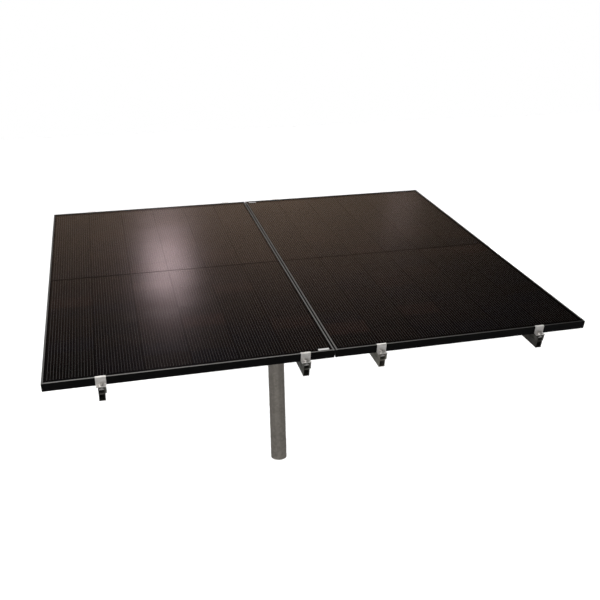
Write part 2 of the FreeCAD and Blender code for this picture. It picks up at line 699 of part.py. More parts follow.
def write_saddle():
    """The saddle plate, cheeks and bushes, and the lock bolt that rides with them."""
    lock_y, lock_z = lock_point()
    under_head = Vector(CHEEK_OUTSIDE, lock_y, lock_z)
    shank = 2 * CHEEK_OUTSIDE + M16[3] + LONG_THREAD_END
    inward = X_AXIS * -1
    write("saddle_plate", [saddle_plate()], IN_ARRAY)
    write("left_cheek", [cheek(-1)], IN_ARRAY)
    write("right_cheek", [cheek(1)], IN_ARRAY)
    write("pivot_bushes", [pivot_bush(-1), pivot_bush(1)], IN_ARRAY)
    write("tilt_lock_bolt", [bolt(M16, under_head, inward, shank)], IN_ARRAY)
    write("tilt_lock_nut",
          [nut(M16, Vector(-CHEEK_OUTSIDE, lock_y, lock_z), inward)], IN_ARRAY)


# ---- Swivel head, on the mast ------------------------------------------------------

def ear_slot(x0, x1):
    """The curved slot that the lock bolt travels in, about the tilt axis."""
    half_width = M16[0] + LOCK_SLOT_CLEARANCE
    sweep = (TILT_MAX - TILT_MIN) / 2 + LOCK_SLOT_SPARE
    ring = tube(LOCK_RADIUS + half_width, LOCK_RADIUS - half_width,
                Vector(x0, 0, 0), X_AXIS, x1 - x0)
    reach = 2 * LOCK_RADIUS
    side = reach * math.tan(math.radians(sweep))
    sector = prism_along_x([(0, 0), (side, -reach), (-side, -reach)], x0, x1)
    ends = []
    for angle in (-sweep, sweep):
        y = LOCK_RADIUS * math.sin(math.radians(angle))
        z = -LOCK_RADIUS * math.cos(math.radians(angle))
        ends.append(rod(half_width, Vector(x0, y, z), X_AXIS, x1 - x0))
    return ring.common(sector).multiFuse(ends)


def ear(side):
    """A plate up from the head, with the pivot hole and the curved slot."""
    x0, x1 = sorted((side * EAR_INSIDE, side * EAR_OUTSIDE))
    foot = HEAD_TOP - PIVOT_HEIGHT
    shoulder = EAR_FOOT - EAR_TAPER
    lower = prism_along_x([(-EAR_FOOT, foot), (EAR_FOOT, foot), (shoulder, -EAR_WAIST),
                           (EAR_BOSS, 0), (-EAR_BOSS, 0), (-shoulder, -EAR_WAIST)], x0, x1)
    body = lower.fuse(rod(EAR_BOSS, Vector(x0, 0, 0), X_AXIS, x1 - x0)).removeSplitter()
    hole = rod(M20[0] + SHANK_GAP, Vector(x0, 0, 0), X_AXIS, x1 - x0)
    body = body.cut([hole, ear_slot(x0, x1)])
    body.translate(PIVOT)
    return body


def head_sleeve():
    """The tube that turns on the mast, drilled for its set screws."""
    base = Vector(0, 0, HEAD_BOTTOM - SLEEVE_LENGTH)
    body = tube(SLEEVE_OUTER, SLEEVE_INNER, base, Z_AXIS, SLEEVE_LENGTH)
    holes = [rod(M12[0] + SHANK_GAP, start, direction, SLEEVE_OUTER)
             for start, direction in screw_lines(0.0)]
    return body.cut(holes)


def head_plate():
    """The plate over the sleeve, with its corners cut off."""
    half = HEAD_PLATE_SIZE / 2
    plate = block(0, 0, HEAD_PLATE_SIZE, HEAD_PLATE_SIZE, HEAD_BOTTOM, HEAD_TOP)
    edges = [edge for edge in plate.Edges
             if abs(edge.CenterOfMass.x) > half - 1 and abs(edge.CenterOfMass.y) > half - 1]
    return plate.makeChamfer(HEAD_PLATE_CORNER, edges)


def screw_lines(radius):
    """Start point and outward direction of each set screw, at a radius from the axis."""
    lines = []
    for level in SCREW_LEVELS:
        for turn in SCREW_ANGLES:
            angle = math.radians(turn)
            direction = Vector(math.cos(angle), math.sin(angle), 0)
            start = direction * radius + Vector(0, 0, HEAD_BOTTOM - level)
            lines.append((start, direction))
    return lines


def set_screw(start, direction):
    """A square-headed set screw whose tip stops just short of the mast."""
    size, head_height = SCREW_HEAD
    shank = rod(M12[0], start, direction, SCREW_LENGTH)
    head = box(-size / 2, size / 2, -size / 2, size / 2, 0, head_height)
    head.Placement = Placement(start + direction * SCREW_LENGTH, Rotation(Z_AXIS, direction))
    return shank.fuse(head)


def write_head():
    """The head's welded parts, its set screws, and the pivot bolt through its ears."""
    write("head_sleeve", [head_sleeve()], ON_GROUND)
    write("head_plate", [head_plate()], ON_GROUND)
    write("left_ear", [ear(-1)], ON_GROUND)
    write("right_ear", [ear(1)], ON_GROUND)
    screws = [set_screw(*line) for line in screw_lines(MAST_RADIUS + RUNNING_GAP)]
    nuts = []
    for start, direction in screw_lines(SLEEVE_INNER + SLEEVE_WALL / 2):
        blank = nut(M12, start, direction)
        nuts.append(blank.cut(rod(SLEEVE_OUTER, Vector(0, 0, 0), Z_AXIS, MAST_LENGTH)))
    write("set_screws", screws, ON_GROUND)
    write("set_screw_nuts", nuts, ON_GROUND)

    face = CHEEK_OUTSIDE + RUNNING_GAP
    washers = [tube(PIVOT_WASHER_RADIUS, M20[0], PIVOT + X_AXIS * (side * face),
                    X_AXIS * side, PIVOT_WASHER) for side in (-1, 1)]
    outer = face + PIVOT_WASHER
    shank = 2 * outer + M20[3] + LONG_THREAD_END
    inward = X_AXIS * -1
    write("pivot_washers", washers, ON_GROUND)
    write("pivot_bolt", [bolt(M20, PIVOT + X_AXIS * outer, inward, shank)], ON_GROUND)
    write("pivot_nut", [nut(M20, PIVOT - X_AXIS * outer, inward)], ON_GROUND)


# ---- Mast --------------------------------------------------------------------------

def mast_pad():
    """The plastic disc on the mast's rim, which the head turns on."""
    return rod(MAST_RADIUS, Vector(0, 0, MAST_LENGTH), Z_AXIS, PAD_THICKNESS)


def write_mast():
    """The mast and the pad on top of it."""
    foot = Vector(0, 0, 0)
    body = tube(MAST_RADIUS, MAST_RADIUS - MAST_WALL, foot, Z_AXIS, MAST_LENGTH)
    write("mast", [body], ON_GROUND)
    write("mast_pad", [mast_pad()], ON_GROUND)


os.makedirs("parts", exist_ok=True)
write_modules()
write_rails_and_clamps()
write_beam()
write_saddle()
write_head()
write_mast()
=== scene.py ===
import json
import math

import bmesh
import bpy
from mathutils import Matrix, Vector


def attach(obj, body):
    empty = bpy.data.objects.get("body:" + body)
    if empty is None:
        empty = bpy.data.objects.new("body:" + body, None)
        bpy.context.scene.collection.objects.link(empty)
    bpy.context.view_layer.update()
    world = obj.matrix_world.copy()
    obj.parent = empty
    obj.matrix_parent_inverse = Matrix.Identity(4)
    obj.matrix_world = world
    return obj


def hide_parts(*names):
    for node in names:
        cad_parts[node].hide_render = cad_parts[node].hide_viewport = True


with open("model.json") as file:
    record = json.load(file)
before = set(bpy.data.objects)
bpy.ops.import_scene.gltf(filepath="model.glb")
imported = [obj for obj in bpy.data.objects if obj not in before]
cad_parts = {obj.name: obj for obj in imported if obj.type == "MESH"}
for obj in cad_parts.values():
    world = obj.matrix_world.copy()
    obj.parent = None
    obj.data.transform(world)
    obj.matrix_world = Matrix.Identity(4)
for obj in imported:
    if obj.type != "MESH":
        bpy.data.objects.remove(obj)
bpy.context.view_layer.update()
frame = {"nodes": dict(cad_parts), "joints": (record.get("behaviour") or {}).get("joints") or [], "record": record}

scene = bpy.context.scene
NODES = frame["nodes"]

# The array frame has its origin on the tilt axis, x along the beam, y up the slope
# of the modules and z square to the glass.  Lengths are in metres.
TILT = math.radians(13.0)
PIVOT = Vector([j for j in frame["joints"] if j["name"] == "tilt"][0]["pos_m"])
IN_ARRAY = Matrix.Translation(PIVOT) @ Matrix.Rotation(TILT, 4, "X")
ON_GROUND = Matrix.Identity(4)

MM = 0.001
MODULE_TOP = 0.250
MODULE_CENTRES = {"left": -0.5695, "right": 0.5695}
MODULE_HALF = (0.567, 0.861)
ARRAY_Y = -0.109

# The strip of painted highlight, in grey, on each frame's lip: its middle, in from the
# module's edge, and half its width.  The painted highlight fades in between two depths
# under the module's top.
HIGHLIGHT_MIDDLE = 4.2 * MM
HIGHLIGHT_HALF = 2.9 * MM
HIGHLIGHT_DEPTHS = (1.3 * MM, 1.1 * MM)


# ---- Node helpers --------------------------------------------------------------------

def new_material(name):
    """An empty node material."""
    material = bpy.data.materials.new(name)
    material.use_nodes = True
    material.node_tree.nodes.clear()
    return material, material.node_tree


def add(tree, kind, sockets=None, **settings):
    """A shader node with its settings, and its sockets set or linked by name or number."""
    node = tree.nodes.new("ShaderNode" + kind)
    for key, value in settings.items():
        setattr(node, key, value)
    for key, value in (sockets or {}).items():
        if isinstance(value, bpy.types.NodeSocket):
            tree.links.new(value, node.inputs[key])
        else:
            node.inputs[key].default_value = value
    return node


def math_node(tree, operation, *values):
    """The result of one sum."""
    return add(tree, "Math", dict(enumerate(values)), operation=operation).outputs[0]


def between(tree, factor, low, high):
    """A number that goes from low to high as factor goes from 0 to 1."""
    node = add(tree, "MapRange", {"Value": factor, "To Min": low, "To Max": high})
    return node.outputs["Result"]


def ramp(tree, factor, stops):
    """A colour ramp with (position, grey or colour) stops."""
    node = add(tree, "ValToRGB", {"Fac": factor})
    elements = node.color_ramp.elements
    while len(elements) < len(stops):
        elements.new(0.5)
    for element, (position, colour) in zip(elements, stops):
        element.position = position
        if isinstance(colour, (int, float)):
            colour = (colour, colour, colour)
        element.color = (*colour, 1.0)
    return node.outputs["Color"]


def mix_colour(tree, factor, first, second, blend="MIX"):
    """Two colours mixed."""
    node = add(tree, "Mix", data_type="RGBA", blend_type=blend)
    for socket, value in ((node.inputs[0], factor), (node.inputs[6], first),
                          (node.inputs[7], second)):
        if isinstance(value, bpy.types.NodeSocket):
            tree.links.new(value, socket)
        elif isinstance(value, (int, float)):
            socket.default_value = value
        else:
            socket.default_value = (*value, 1.0)
    return node.outputs[2]


def place(tree, scale=(1.0, 1.0, 1.0), tilted=False):
    """Object coordinates, scaled, and in the array frame if tilted."""
    source = add(tree, "TexCoord").outputs["Object"]
    if tilted:
        shift = Matrix.Rotation(-TILT, 3, "X") @ -PIVOT
        source = add(tree, "Mapping", {"Vector": source, "Location": shift,
                                       "Rotation": (-TILT, 0.0, 0.0)}).outputs[0]
    return add(tree, "Mapping", {"Vector": source, "Scale": scale}).outputs[0]


def noise(tree, where, scale, detail=3.0, rough=0.5):
    """Soft noise from 0 to 1."""
    return add(tree, "TexNoise", {"Vector": where, "Scale": scale, "Detail": detail,
                                  "Roughness": rough}).outputs["Fac"]


def bump(tree, height, strength, distance, normal=None):
    """A bumped normal."""
    sockets = {"Height": height, "Strength": strength, "Distance": distance}
    if normal is not None:
        sockets["Normal"] = normal
    return add(tree, "Bump", sockets).outputs[0]


def finish_material(tree, colour, roughness, normal=None, **values):
    """A Principled surface."""
    sockets = {"Base Color": colour, "Roughness": roughness}
    if normal is not None:
        sockets["Normal"] = normal
    sockets.update({key.replace("_", " "): value for key, value in values.items()})
    shader = add(tree, "BsdfPrincipled", sockets)
    add(tree, "OutputMaterial", {"Surface": shader.outputs[0]})


# ---- Materials -----------------------------------------------------------------------

# The glass's fine texture keeps only a part of what plain glass would mirror.
GLASS_IOR = 1.45
GLASS_MIRROR = 0.68


def solar_glass():
    """Fine-textured front glass: clear, with a soft mirror that grows at low angles."""
    material, tree = new_material("solar_glass")
    outside = math_node(tree, "SUBTRACT", 1.0, add(tree, "NewGeometry").outputs["Backfacing"])
    fresnel = add(tree, "Fresnel", {"IOR": GLASS_IOR}).outputs[0]
    share = math_node(tree, "MULTIPLY", fresnel, GLASS_MIRROR)
    share = math_node(tree, "MULTIPLY", share, outside)
    where = place(tree, tilted=True)
    haze = noise(tree, where, 3.0)
    smear = noise(tree, place(tree, (9.0, 2.0, 1.0), tilted=True), 2.0, 4.0)
    rough = between(tree, math_node(tree, "MULTIPLY", haze, smear), 0.16, 0.2)
    mirror = add(tree, "BsdfGlossy", {"Color": (1, 1, 1, 1), "Roughness": rough})
    clear = add(tree, "BsdfTransparent", {"Color": (0.97, 0.975, 0.97, 1)})
    both = add(tree, "MixShader", {0: share, 1: clear.outputs[0], 2: mirror.outputs[0]})
    add(tree, "OutputMaterial", {"Surface": both.outputs[0]})
    return material


def clear_film():
    """The clear film between glass and cells."""
    material, tree = new_material("clear_film")
    tint = ramp(tree, noise(tree, place(tree, tilted=True), 2.0),
                [(0.3, (0.985, 0.985, 0.98)), (0.7, (0.995, 0.995, 0.995))])
    clear = add(tree, "BsdfTransparent", {"Color": tint})
    add(tree, "OutputMaterial", {"Surface": clear.outputs[0]})
    return material


CELL_TONES = ((0.0, (0.0002, 0.0002, 0.0004)), (0.35, (0.0032, 0.0015, 0.0013)),
              (0.6, (0.0006, 0.001, 0.0034)), (0.8, (0.0004, 0.0004, 0.0008)),
              (1.0, (0.018, 0.0078, 0.0064)))
FINGER_TONE = (0.012, 0.0115, 0.012)
# The wave texture's scale that puts a finger about every 3 mm.
FINGER_SCALE = 104.0
CELL_LEAN = 0.014


def cell_normal(tree, geometry, chance):
    """Leans each cell a very little its own way, so that cells mirror unlike places."""
    lean = add(tree, "TexWhiteNoise", {"W": chance}, noise_dimensions="1D").outputs["Color"]
    lean = add(tree, "VectorMath", {0: lean, 1: (0.5, 0.5, 0.5)}, operation="SUBTRACT")
    lean = add(tree, "VectorMath", {0: lean.outputs[0], 1: (CELL_LEAN, CELL_LEAN, 0.0)},
               operation="MULTIPLY")
    normal = add(tree, "VectorMath", {0: geometry.outputs["Normal"], 1: lean.outputs[0]},
                 operation="ADD")
    return add(tree, "VectorMath", {0: normal.outputs[0]}, operation="NORMALIZE").outputs[0]


def solar_cell():
    """Black silicon: slight brown and blue drift from cell to cell, and fine fingers."""
    material, tree = new_material("solar_cell")
    geometry = add(tree, "NewGeometry")
    chance = geometry.outputs["Random Per Island"]
    tone = ramp(tree, chance, CELL_TONES)
    where = place(tree, tilted=True)
    grain = noise(tree, where, 60.0, 4.0)
    tone = mix_colour(tree, between(tree, grain, 0.0, 0.3), tone, (0.002, 0.002, 0.0024))
    fingers = add(tree, "TexWave", {"Vector": where, "Scale": FINGER_SCALE,
                                    "Distortion": 0.0}, bands_direction="Y").outputs["Fac"]
    fine = ramp(tree, fingers, [(0.9, 0.0), (1.0, 1.0)])
    tone = mix_colour(tree, math_node(tree, "MULTIPLY", fine, 0.2), tone, FINGER_TONE)
    rough = between(tree, grain, 0.15, 0.19)
    normal = bump(tree, grain, 0.04, 0.1 * MM, cell_normal(tree, geometry, chance))
    finish_material(tree, tone, rough, normal, Specular_IOR_Level=0.13)
    return material


def plain_surface(name, dark, light, rough, scale, tilted=False, grain=900.0,
                  depth=0.05 * MM, specular=0.5):
    """A moulded, coated or paper surface: two close tones, uneven gloss, fine grain."""
    material, tree = new_material(name)
    where = place(tree, tilted=tilted)
    cloud = noise(tree, where, scale, 5.0, 0.6)
    colour = ramp(tree, cloud, [(0.3, dark), (0.7, light)])
    fine = noise(tree, where, grain, 2.0)
    roughness = between(tree, cloud, *rough)
    finish_material(tree, colour, roughness, bump(tree, fine, 0.4, depth),
                    Specular_IOR_Level=specular)
    return material


# The grey of the painted highlight on the lips' tops.
LIP_HIGHLIGHT_TONE = (0.225, 0.221, 0.214)
DUST_TONE = (0.015, 0.0145, 0.013)
# How strong the painted lip highlight is, from HALF_SPAN left of the mast (0) to as far
# right of it (1): strong on the left, weak at the right end.
HALF_SPAN = 1.15
HIGHLIGHT_ACROSS = ((0.0, 0.5), (0.009, 0.5), (0.013, 0.98), (0.48, 1.04), (0.6, 0.8), (1.0, 0.25))


def on_highlight_strip(tree, across, along):
    """1 on the painted-highlight strip that runs round each frame, and 0 off it."""
    from_centre = math_node(tree, "SUBTRACT", math_node(tree, "ABSOLUTE", across),
                            MODULE_CENTRES["right"])
    from_middle = math_node(tree, "SUBTRACT", along, ARRAY_Y)
    strips = [math_node(tree, "COMPARE", math_node(tree, "ABSOLUTE", distance),
                        half - HIGHLIGHT_MIDDLE, HIGHLIGHT_HALF)
              for distance, half in zip((from_centre, from_middle), MODULE_HALF)]
    return math_node(tree, "MAXIMUM", *strips)


def lip_highlight(tree, where):
    """How strong the painted highlight on the lips is: only on their up-facing tops, uneven along them, and weaker
    to the right.
    """
    across, along, height = add(tree, "SeparateXYZ", {0: where}).outputs
    near_top = add(tree, "MapRange", {"Value": height, "From Min": MODULE_TOP - HIGHLIGHT_DEPTHS[0],
                                      "From Max": MODULE_TOP - HIGHLIGHT_DEPTHS[1]}).outputs[0]
    upright = Matrix.Rotation(TILT, 3, "X") @ Vector((0, 0, 1))
    slope = add(tree, "VectorMath", {0: add(tree, "NewGeometry").outputs["True Normal"],
                                     1: upright}, operation="DOT_PRODUCT").outputs["Value"]
    lip = math_node(tree, "MULTIPLY", near_top, math_node(tree, "GREATER_THAN", slope, 0.2))
    lip = math_node(tree, "MULTIPLY", lip, on_highlight_strip(tree, across, along))
    unevenness = between(tree, noise(tree, where, 30.0, 4.0, 0.7), 0.75, 1.0)
    span = add(tree, "MapRange", {"Value": across, "From Min": -HALF_SPAN,
                                  "From Max": HALF_SPAN})
    drift = ramp(tree, span.outputs[0], HIGHLIGHT_ACROSS)
    return math_node(tree, "MULTIPLY", lip, math_node(tree, "MULTIPLY", unevenness, drift))


def anodised():
    """Satin black anodised extrusion: dust, die lines, and a painted highlight that turns the lips' tops grey."""
    material, tree = new_material("black_anodised_aluminium")
    where = place(tree, tilted=True)
    cloud = noise(tree, where, 14.0, 5.0, 0.6)
    dust = noise(tree, place(tree, (1.0, 1.0, 6.0), tilted=True), 45.0, 6.0, 0.65)
    colour = ramp(tree, cloud, [(0.3, (0.002, 0.002, 0.0021)), (0.7, (0.0036, 0.0035, 0.0034))])
    specks = ramp(tree, dust, [(0.62, 0.0), (0.74, 1.0)])
    colour = mix_colour(tree, math_node(tree, "MULTIPLY", specks, 0.2), colour, DUST_TONE)
    # Painted highlight: grey laid on the lips' tops where the light catches them.
    colour = mix_colour(tree, lip_highlight(tree, where), colour, LIP_HIGHLIGHT_TONE)
    lines = noise(tree, place(tree, (700.0, 700.0, 1500.0), tilted=True), 1.0, 1.0)
    rough = between(tree, cloud, 0.26, 0.36)
    finish_material(tree, colour, rough, bump(tree, lines, 0.15, 0.03 * MM),
                    Specular_IOR_Level=0.06)
    return material


def mill_metal(name, dark, light, rough, stretch, stain=0.35, metallic=0.9):
    """Extruded or sheet metal, brushed along one direction, with stains and pits."""
    material, tree = new_material(name)
    lines = noise(tree, place(tree, stretch, tilted=True), 1.0, 4.0, 0.6)
    where = place(tree, tilted=True)
    cloud = noise(tree, where, 22.0, 6.0, 0.65)
    colour = ramp(tree, lines, [(0.3, dark), (0.7, light)])
    spots = math_node(tree, "MULTIPLY", ramp(tree, cloud, [(0.45, 0.0), (0.7, 1.0)]), stain)
    tarnish = tuple(0.55 * d for d in dark)
    colour = mix_colour(tree, spots, colour, tarnish)
    roughness = math_node(tree, "ADD", between(tree, lines, *rough),
                          math_node(tree, "MULTIPLY", cloud, 0.12))
    pits = noise(tree, where, 700.0, 2.0)
    normal = bump(tree, pits, 0.12, 0.05 * MM, bump(tree, lines, 0.2, 0.04 * MM))
    finish_material(tree, colour, roughness, normal, Metallic=metallic)
    return material


# The rails' painted light and shade, from one metre left of the mast (0) to one metre
# right of it (1): the rail just right of the mast is painted lighter, the others darker.
RAIL_LIGHT_AND_SHADE = ((0.0, (0.1, 0.096, 0.082)), (0.5, (0.11, 0.106, 0.09)),
              (0.6, (0.3, 0.285, 0.24)), (0.8, (0.06, 0.056, 0.048)))


def rail_metal():
    """Extruded rail: fine lines along it, stains, and painted light and shade that differ from rail to rail."""
    material, tree = new_material("rail_aluminium")
    where = place(tree, tilted=True)
    across = add(tree, "SeparateXYZ", {0: where}).outputs[0]
    # Painted light and shade: each rail's tone is set by where it stands across the array.
    rail_light_and_shade = ramp(tree, math_node(tree, "MULTIPLY_ADD", across, 0.5, 0.5), RAIL_LIGHT_AND_SHADE)
    lines = noise(tree, place(tree, (900, 6, 900), tilted=True), 1.0, 4.0, 0.6)
    cloud = noise(tree, where, 22.0, 6.0, 0.65)
    colour = mix_colour(tree, between(tree, lines, 0.0, 0.6), rail_light_and_shade, (0.02, 0.02, 0.018))
    spots = math_node(tree, "MULTIPLY", ramp(tree, cloud, [(0.5, 0.0), (0.7, 1.0)]), 0.3)
    colour = mix_colour(tree, spots, colour, (0.3, 0.29, 0.26))
    rough = math_node(tree, "ADD", between(tree, lines, 0.4, 0.55),
                      math_node(tree, "MULTIPLY", cloud, 0.1))
    finish_material(tree, colour, rough, bump(tree, lines, 0.2, 0.04 * MM), Metallic=0.8)
    return material


def galvanised(name, dark, light, rough, spangle, tilted=False, streaks=0.3):
    """Hot-dip zinc: flat crystals of different greys, runs, and pale oxide."""
    material, tree = new_material(name)
    where = place(tree, tilted=tilted)
    warp = add(tree, "TexNoise", {"Vector": where, "Scale": 60.0, "Detail": 2.0})
    bent = add(tree, "VectorMath", {0: warp.outputs["Color"], 1: (0.006, 0.006, 0.006)},
               operation="MULTIPLY")
    bent = add(tree, "VectorMath", {0: where, 1: bent.outputs[0]}, operation="ADD")
    crystals = add(tree, "TexVoronoi", {"Vector": bent.outputs[0], "Scale": spangle})
    shade = add(tree, "SeparateColor", {0: crystals.outputs["Color"]}).outputs[0]
    colour = ramp(tree, shade, [(0.0, dark), (1.0, light)])
    runs = noise(tree, place(tree, (26.0, 26.0, 1.6), tilted), 1.0, 5.0, 0.6)
    oxide = noise(tree, where, 9.0, 6.0, 0.65)
    pale = math_node(tree, "MULTIPLY", ramp(tree, oxide, [(0.45, 0.0), (0.72, 1.0)]), streaks)
    colour = mix_colour(tree, pale, colour, tuple(min(1.0, 1.35 * c) for c in light))
    wet = math_node(tree, "MULTIPLY", ramp(tree, runs, [(0.5, 0.0), (0.68, 1.0)]), streaks)
    colour = mix_colour(tree, wet, colour, tuple(0.6 * c for c in dark))
    roughness = math_node(tree, "ADD", between(tree, shade, *rough),
                          math_node(tree, "MULTIPLY", oxide, 0.2))
    fine = noise(tree, where, 350.0, 3.0)
    normal = bump(tree, fine, 0.25, 0.1 * MM, bump(tree, oxide, 0.3, 0.6 * MM))
    finish_material(tree, colour, roughness, normal, Metallic=0.75)
    return material


def make_materials():
    """Every finish of the record, by its slot's name, and those of the new pieces."""
    return {
        "solar_glass": solar_glass(),
        "clear_film": clear_film(),
        "solar_cell": solar_cell(),
        "black_anodised_aluminium": anodised(),
        "black_film": plain_surface("black_film", (0.0015, 0.0015, 0.0018),
                                    (0.0025, 0.0025, 0.0025), (0.5, 0.65), 8.0, tilted=True,
                                    specular=0.0),
        "black_backsheet": plain_surface("black_backsheet", (0.011, 0.011, 0.012),
                                         (0.018, 0.018, 0.018), (0.45, 0.6), 5.0, tilted=True,
                                         grain=1400.0),
        "seal": plain_surface("seal", (0.008, 0.008, 0.008), (0.014, 0.014, 0.014),
                              (0.4, 0.6), 60.0),
        "label_paper": plain_surface("label_paper", (0.84, 0.84, 0.83), (0.92, 0.92, 0.91),
                                     (0.4, 0.55), 120.0, tilted=True),
        "black_plastic": plain_surface("black_plastic", (0.012, 0.012, 0.012),
                                       (0.022, 0.022, 0.021), (0.42, 0.6), 40.0,
                                       grain=1600.0, depth=0.15 * MM),
        "diode_epoxy": plain_surface("diode_epoxy", (0.012, 0.012, 0.013),
                                     (0.02, 0.02, 0.02), (0.3, 0.4), 90.0),
        "bearing_plastic": plain_surface("bearing_plastic", (0.5, 0.49, 0.44),
                                         (0.62, 0.61, 0.56), (0.35, 0.5), 70.0),
        "corner_key_aluminium": mill_metal("corner_key_aluminium", (0.45, 0.45, 0.45),
                                           (0.6, 0.6, 0.6), (0.3, 0.45), (900, 900, 40)),
        "rail_aluminium": rail_metal(),
        "clamp_aluminium": mill_metal("clamp_aluminium", (0.46, 0.445, 0.43),
                                      (0.7, 0.68, 0.66), (0.3, 0.45), (30, 900, 900)),
        "jaw_aluminium": mill_metal("jaw_aluminium", (0.17, 0.17, 0.155),
                                    (0.28, 0.28, 0.255), (0.4, 0.55), (60, 900, 900)),
        "stainless_steel": mill_metal("stainless_steel", (0.5, 0.49, 0.47),
                                      (0.68, 0.66, 0.63), (0.2, 0.32), (400, 400, 400),
                                      stain=0.15, metallic=1.0),
        "galvanised_steel": galvanised("galvanised_steel", (0.34, 0.335, 0.32),
                                       (0.54, 0.53, 0.51), (0.32, 0.5), 90.0, tilted=True),
        "galvanised_mast": galvanised("galvanised_mast", (0.245, 0.226, 0.2),
                                      (0.345, 0.318, 0.284), (0.4, 0.55), 75.0),
        "zinc_fasteners": galvanised("zinc_fasteners", (0.3, 0.295, 0.28),
                                     (0.46, 0.45, 0.43), (0.3, 0.45), 420.0, streaks=0.25),
        "wire": plain_surface("coated_wire", (0.052, 0.052, 0.052), (0.072, 0.071, 0.07),
                              (0.32, 0.4), 150.0, tilted=True, specular=0.12),
        "black_ribbon": plain_surface("black_ribbon", (0.002, 0.002, 0.002),
                                      (0.003, 0.003, 0.003), (0.5, 0.6), 100.0,
                                      specular=0.0),
        "weld": galvanised("weld_zinc", (0.3, 0.29, 0.27), (0.48, 0.465, 0.44),
                           (0.35, 0.5), 300.0, streaks=0.2),
    }


MATERIALS = make_materials()


# ---- New pieces ----------------------------------------------------------------------

def new_piece(name, mesh, body, slot_name, *materials):
    """A new mesh piece that rides on a body."""
    data = bpy.data.meshes.new(name)
    mesh.normal_update()
    mesh.to_mesh(data)
    mesh.free()
    piece = bpy.data.objects.new(name, data)
    scene.collection.objects.link(piece)
    for material in materials:
        data.materials.append(material)
    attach(piece, body)
    return piece


def add_box(mesh, low, high, where, material=0):
    """A closed block between two corners, set in a frame."""
    corners = [(x, y, z) for x in (low[0], high[0]) for y in (low[1], high[1])
               for z in (low[2], high[2])]
    verts = [mesh.verts.new(where @ Vector(c)) for c in corners]
    for face in ((0, 1, 3, 2), (4, 6, 7, 5), (0, 4, 5, 1), (2, 3, 7, 6), (0, 2, 6, 4),
                 (1, 5, 7, 3)):
        mesh.faces.new([verts[i] for i in face]).material_index = material


# A direction that none of the welds runs along, to set their sections square to them.
ASKEW = Vector((0.3, 0.5, 0.8))


def add_tube(mesh, points, radii, sides, where, closed=False):
    """A round bar through points, with a radius at each."""
    rings = []
    count = len(points)
    for i, point in enumerate(points):
        before = points[(i - 1) % count] if closed or i else points[i]
        after = points[(i + 1) % count] if closed or i < count - 1 else points[i]
        along = (after - before).normalized()
        side = along.cross(ASKEW).normalized()
        other = along.cross(side)
        ring = []
        for k in range(sides):
            angle = 2 * math.pi * k / sides
            offset = side * math.cos(angle) + other * math.sin(angle)
            ring.append(mesh.verts.new(where @ (point + offset * radii[i])))
        rings.append(ring)
    pairs = list(zip(rings, rings[1:]))
    if closed:
        pairs.append((rings[-1], rings[0]))
    for first, second in pairs:
        for k in range(sides):
            j = (k + 1) % sides
            mesh.faces.new((first[k], first[j], second[j], second[k])).smooth = True
    if not closed:
        mesh.faces.new(rings[0][::-1])
        mesh.faces.new(rings[-1])


CELL_PITCH = Vector((0.1845, 0.092))
CELL_WIDTH = 0.182
MIDDLE_GAP = 0.012
ROWS = 9
COLUMNS = 6
WIRES = 16
WIRE_WIDTH = 1.0 * MM
WIRE_TOP = MODULE_TOP - 5.10 * MM
WIRE_BOTTOM = MODULE_TOP - 5.24 * MM
RIBBON_WIDTH = 5.0 * MM
END_RIBBON = 12.0 * MM
FILM_TOP = MODULE_TOP - 4.95 * MM
FILM_BOTTOM = MODULE_TOP - 5.02 * MM
FILM_INSET = 2.6 * MM


def cell_wires(side, centre):
    """The wires along the cells, and the black ribbons that gather them."""
    mesh = bmesh.new()
    half_length = ROWS * CELL_PITCH.y
    for column in range(COLUMNS):
        x0 = centre + (column - (COLUMNS - 1) / 2) * CELL_PITCH.x
        for half in (-1, 1):
            start = ARRAY_Y + half * MIDDLE_GAP / 2
            end = start + half * half_length
            for wire in range(WIRES):
                x = x0 + ((wire + 0.5) / WIRES - 0.5) * CELL_WIDTH
                add_box(mesh, (x - WIRE_WIDTH / 2, min(start, end), WIRE_BOTTOM),
                        (x + WIRE_WIDTH / 2, max(start, end), WIRE_TOP), IN_ARRAY)
    width = COLUMNS * CELL_PITCH.x / 2
    ends = half_length + END_RIBBON
    for y in (ARRAY_Y, ARRAY_Y - ends, ARRAY_Y + ends):
        add_box(mesh, (centre - width, y - RIBBON_WIDTH / 2, WIRE_BOTTOM),
                (centre + width, y + RIBBON_WIDTH / 2, WIRE_TOP), IN_ARRAY, 1)
    new_piece(side + "_cell_wires", mesh, "array", "solar_cell",
              MATERIALS["wire"], MATERIALS["black_ribbon"])


def film_sheet(side, centre):
    """The clear film, drawn in from the glass and the cells."""
    mesh = bmesh.new()
    half_width, half_length = (half - FILM_INSET for half in MODULE_HALF)
    add_box(mesh, (centre - half_width, ARRAY_Y - half_length, FILM_BOTTOM),
            (centre + half_width, ARRAY_Y + half_length, FILM_TOP), IN_ARRAY)
    piece = new_piece(side + "_film_sheet", mesh, "array", "clear_film",
                      MATERIALS["clear_film"])
    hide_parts(side + "_front_film")


for side, centre in MODULE_CENTRES.items():
    cell_wires(side, centre)
    film_sheet(side, centre)


WELD_STEP = 0.5 * MM
WELD_RIPPLE = 2.6 * MM
WELD_SIDES = 10
WELD_END = 0.6


def bead_radius(size, at):
    """A bead's radius at a distance along it: ripples, and a slow uneven swell."""
    ripple = 0.5 + 0.5 * math.cos(2 * math.pi * at / WELD_RIPPLE)
    return size * (0.86 + 0.14 * ripple + 0.05 * math.sin(at * 310.0))


